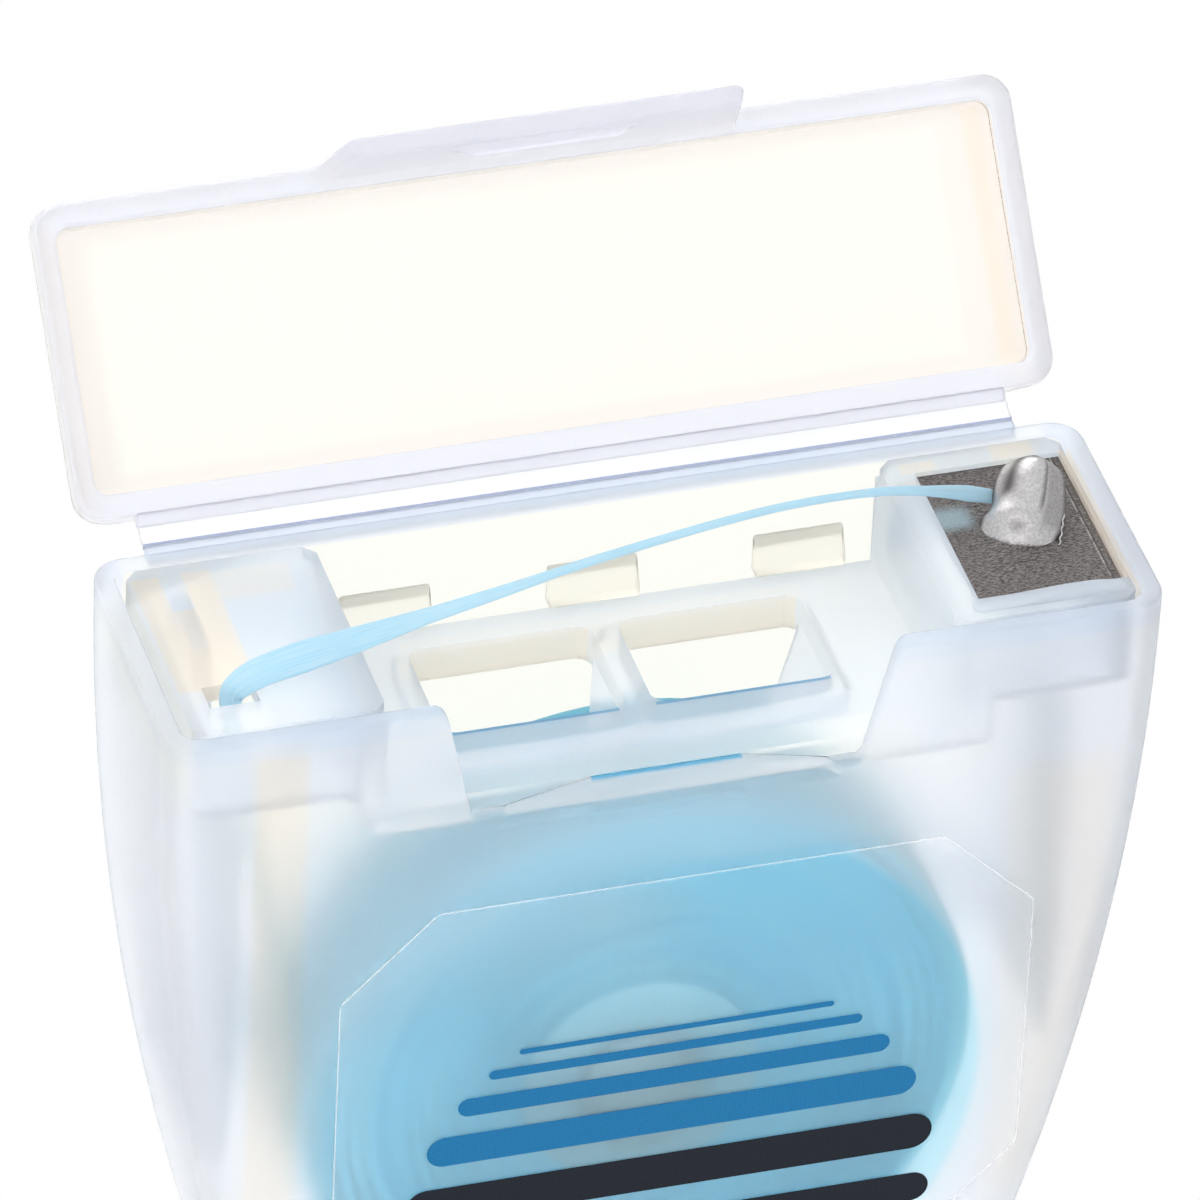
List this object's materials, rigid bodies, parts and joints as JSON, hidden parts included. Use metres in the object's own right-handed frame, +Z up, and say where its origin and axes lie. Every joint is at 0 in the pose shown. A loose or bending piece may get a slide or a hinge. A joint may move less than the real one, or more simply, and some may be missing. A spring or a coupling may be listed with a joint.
{
  "type": "dental floss dispenser",
  "caption": "Flip-top dental floss dispenser: see-through oblong case with a hinged lid, drop-in insert with a steel cutter, and a floss spool inside.",
  "frame": {"origin": "middle of the case's flat base", "axes": "+Z up, -Y towards the notched front wall, +X towards the cutter"},
  "size_m": [0.05, 0.0312, 0.0615],
  "materials": {
    "frosted_case": "frosted",
    "clear_insert": "satin",
    "cutter_steel": "satin",
    "core_plastic": "matte",
    "floss": "waxed",
    "label_film": "gloss"
  },
  "bodies": {
    "case": {"case_shell": "frosted_case", "hinge_web": "frosted_case", "insert_frame": "clear_insert", "cutter_plate": "cutter_steel", "floss_lead": "floss", "floss_strand": "floss", "front_label": "label_film"},
    "lid": {"lid_shell": "frosted_case"},
    "spool": {"spool_core": "core_plastic", "floss_pack": "floss", "floss_turns": "floss"}
  },
  "joints": [
    {"name": "lid_hinge", "type": "hinge", "parent": "case", "child": "lid", "pos_m": [0, 0.00885, 0.04505], "axis": [1, 0, 0], "range_deg": [-48, 132], "deforming": ["hinge_web"]},
    {"name": "spool_spin", "type": "hinge", "parent": "case", "child": "spool", "pos_m": [0, 0, 0.0185], "axis": [0, 1, 0], "continuous": true}
  ]
}
